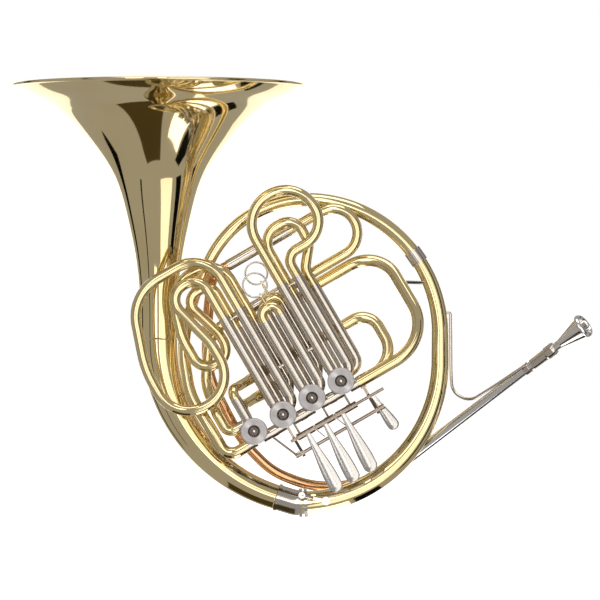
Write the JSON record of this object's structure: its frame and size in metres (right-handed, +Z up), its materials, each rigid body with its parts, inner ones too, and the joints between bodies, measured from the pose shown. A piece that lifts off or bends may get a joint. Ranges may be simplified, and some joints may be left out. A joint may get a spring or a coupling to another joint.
{
  "type": "french horn",
  "caption": "Double french horn, bell up, with rotary valves on levers and links, pull-out tuning slides, a water key, a leadpipe and a removable mouthpiece.",
  "frame": {"origin": "centre of the bell's mouth, in the plane of its rim", "axes": "+Z up out of the bell along its axis; +X towards the mouthpiece side; -Y towards the valves' caps, out of the front"},
  "size_m": [0.6035, 0.31, 0.4525],
  "materials": {
    "brass": "lacquered, polished",
    "nickel_silver": "lacquered nickel silver, polished",
    "rose_brass": "lacquered, polished",
    "silver": "silver plated, polished",
    "steel": "bright drawn",
    "rubber": "matt"
  },
  "bodies": {
    "horn": {"back_tube": "brass", "bearing_plates": "nickel_silver", "bell_flare": "brass", "bell_rim_wire": "brass", "bell_tail": "brass", "braces": "nickel_silver", "branch_ferrules": "nickel_silver", "branch_return": "brass", "bumpers": "rubber", "change_valve_casing": "nickel_silver", "coupling_sleeves": "nickel_silver", "cross_tube": "brass", "first_valve_casing": "nickel_silver", "front_slide_sleeves": "nickel_silver", "large_loop": "brass", "leadpipe": "silver", "leadpipe_extension": "rose_brass", "lever_posts": "nickel_silver", "lever_rod": "steel", "lever_springs": "steel", "main_branch": "brass", "middle_slide_sleeves": "nickel_silver", "mouthpiece_receiver": "nickel_silver", "s_brace": "nickel_silver", "second_valve_casing": "nickel_silver", "small_loop": "brass", "third_valve_casing": "nickel_silver", "tuning_return": "brass", "tuning_slide_sleeves": "nickel_silver", "upper_branch": "brass", "valve_caps": "nickel_silver", "water_key_mount": "brass"},
    "mouthpiece_body": {"mouthpiece": "silver"},
    "front_third_slide_body": {"front_third_slide": "brass"},
    "front_second_slide_body": {"front_second_slide": "brass"},
    "front_first_slide_body": {"front_first_slide": "brass"},
    "middle_third_slide_body": {"middle_third_slide": "brass"},
    "middle_second_slide_body": {"middle_second_slide": "brass"},
    "middle_first_slide_body": {"middle_first_slide": "brass"},
    "main_tuning_slide_body": {"main_tuning_slide": "brass"},
    "change_valve_turning": {"change_valve_rotor": "nickel_silver", "change_valve_stop_arm": "nickel_silver"},
    "change_valve_link_body": {"change_valve_link": "nickel_silver"},
    "third_valve_turning": {"third_valve_rotor": "nickel_silver", "third_valve_stop_arm": "nickel_silver"},
    "third_valve_link_body": {"third_valve_link": "nickel_silver"},
    "second_valve_turning": {"second_valve_rotor": "nickel_silver", "second_valve_stop_arm": "nickel_silver"},
    "second_valve_link_body": {"second_valve_link": "nickel_silver"},
    "first_valve_turning": {"first_valve_rotor": "nickel_silver", "first_valve_stop_arm": "nickel_silver"},
    "first_valve_link_body": {"first_valve_link": "nickel_silver"},
    "first_lever_body": {"first_lever": "nickel_silver"},
    "second_lever_body": {"second_lever": "nickel_silver"},
    "third_lever_body": {"third_lever": "nickel_silver"},
    "thumb_lever_body": {"thumb_lever": "nickel_silver"},
    "front_pull_ring_body": {"front_pull_ring": "nickel_silver"},
    "middle_pull_ring_body": {"middle_pull_ring": "nickel_silver"},
    "water_key_body": {"water_key": "nickel_silver", "water_key_cork": "rubber"}
  },
  "joints": [
    {"name": "mouthpiece_pull", "type": "slide", "parent": "horn", "child": "mouthpiece_body", "axis": [0.7276, -0.3746, 0.5746], "range_m": [0, 0.03]},
    {"name": "front_third_slide_pull", "type": "slide", "parent": "horn", "child": "front_third_slide_body", "axis": [-0.5, 0, 0.866], "range_m": [0, 0.035]},
    {"name": "front_second_slide_pull", "type": "slide", "parent": "horn", "child": "front_second_slide_body", "axis": [-0.5, 0, 0.866], "range_m": [0, 0.025]},
    {"name": "front_first_slide_pull", "type": "slide", "parent": "horn", "child": "front_first_slide_body", "axis": [-0.5, 0, 0.866], "range_m": [0, 0.035]},
    {"name": "middle_third_slide_pull", "type": "slide", "parent": "horn", "child": "middle_third_slide_body", "axis": [-0.5, 0, 0.866], "range_m": [0, 0.025]},
    {"name": "middle_second_slide_pull", "type": "slide", "parent": "horn", "child": "middle_second_slide_body", "axis": [-0.5, 0, 0.866], "range_m": [0, 0.025]},
    {"name": "middle_first_slide_pull", "type": "slide", "parent": "horn", "child": "middle_first_slide_body", "axis": [-0.5, 0, 0.866], "range_m": [0, 0.025]},
    {"name": "main_tuning_slide_pull", "type": "slide", "parent": "horn", "child": "main_tuning_slide_body", "axis": [0.866, 0, 0.5], "range_m": [0, 0.025]},
    {"name": "change_valve_turn", "type": "hinge", "parent": "horn", "child": "change_valve_turning", "pos_m": [0.09978, -0.035, -0.36078], "axis": [0, -1, 0], "range_deg": [-90.01, 0]},
    {"name": "third_valve_turn", "type": "hinge", "parent": "horn", "child": "third_valve_turning", "pos_m": [0.12966, -0.035, -0.34353], "axis": [0, -1, 0], "range_deg": [0, 90.01]},
    {"name": "second_valve_turn", "type": "hinge", "parent": "horn", "child": "second_valve_turning", "pos_m": [0.15954, -0.035, -0.32627], "axis": [0, -1, 0], "range_deg": [0, 90.01]},
    {"name": "first_valve_turn", "type": "hinge", "parent": "horn", "child": "first_valve_turning", "pos_m": [0.18942, -0.035, -0.30902], "axis": [0, -1, 0], "range_deg": [-90.01, 0]},
    {"name": "third_lever_press", "type": "hinge", "parent": "horn", "child": "third_lever_body", "pos_m": [0.14786, -0.038, -0.36651], "axis": [0.866, 0, 0.5], "range_deg": [0, 13.6], "stiffness_Nm_per_rad": 0.15, "springref_deg": -17.19},
    {"name": "third_valve_link_pivot", "type": "hinge", "parent": "third_lever_body", "child": "third_valve_link_body", "pos_m": [0.14786, -0.008, -0.36651], "axis": [0.866, 0, 0.5], "range_deg": [-13.61, 0]},
    {"name": "second_lever_press", "type": "hinge", "parent": "horn", "child": "second_lever_body", "pos_m": [0.17774, -0.038, -0.34926], "axis": [0.866, 0, 0.5], "range_deg": [0, 13.6], "stiffness_Nm_per_rad": 0.15, "springref_deg": -17.19},
    {"name": "second_valve_link_pivot", "type": "hinge", "parent": "second_lever_body", "child": "second_valve_link_body", "pos_m": [0.17774, -0.008, -0.34926], "axis": [0.866, 0, 0.5], "range_deg": [-13.61, 0]},
    {"name": "first_lever_press", "type": "hinge", "parent": "horn", "child": "first_lever_body", "pos_m": [0.20022, -0.038, -0.33627], "axis": [0.866, 0, 0.5], "range_deg": [0, 13.6], "stiffness_Nm_per_rad": 0.15, "springref_deg": -17.19},
    {"name": "first_valve_link_pivot", "type": "hinge", "parent": "first_lever_body", "child": "first_valve_link_body", "pos_m": [0.20022, -0.008, -0.33627], "axis": [0.866, 0, 0.5], "range_deg": [-13.61, 0]},
    {"name": "thumb_lever_press", "type": "hinge", "parent": "horn", "child": "thumb_lever_body", "pos_m": [0.18467, -0.026, -0.3643], "axis": [-0.866, 0, -0.5], "range_deg": [0, 23.1], "stiffness_Nm_per_rad": 0.15, "springref_deg": -17.19},
    {"name": "change_valve_link_pivot", "type": "hinge", "parent": "thumb_lever_body", "child": "change_valve_link_body", "pos_m": [0.14414, -0.008, -0.3877], "axis": [-0.866, 0, -0.5], "range_deg": [-23.11, 0]},
    {"name": "front_pull_ring_swing", "type": "hinge", "parent": "front_second_slide_body", "child": "front_pull_ring_body", "pos_m": [0.10681, -0.047, -0.22104], "axis": [0.866, 0, 0.5], "range_deg": [-15, 100]},
    {"name": "middle_pull_ring_swing", "type": "hinge", "parent": "middle_second_slide_body", "child": "middle_pull_ring_body", "pos_m": [0.10763, -0.031, -0.20787], "axis": [0.866, 0, 0.5], "range_deg": [-45, 25]},
    {"name": "water_key_press", "type": "hinge", "parent": "horn", "child": "water_key_body", "pos_m": [0.16114, -0.0154, -0.43219], "axis": [0, 0, -1], "range_deg": [0, 18], "stiffness_Nm_per_rad": 0.05, "springref_deg": -11.46}
  ],
  "couplings": [
    {"joint": "third_valve_turn", "follows": "third_lever_press", "ratio": 6.6176},
    {"joint": "second_valve_turn", "follows": "second_lever_press", "ratio": 6.6176},
    {"joint": "first_valve_turn", "follows": "first_lever_press", "ratio": -6.6176},
    {"joint": "change_valve_turn", "follows": "thumb_lever_press", "ratio": -3.8961},
    {"joint": "third_valve_link_pivot", "follows": "third_lever_press", "ratio": -1},
    {"joint": "second_valve_link_pivot", "follows": "second_lever_press", "ratio": -1},
    {"joint": "first_valve_link_pivot", "follows": "first_lever_press", "ratio": -1},
    {"joint": "change_valve_link_pivot", "follows": "thumb_lever_press", "ratio": -1}
  ]
}
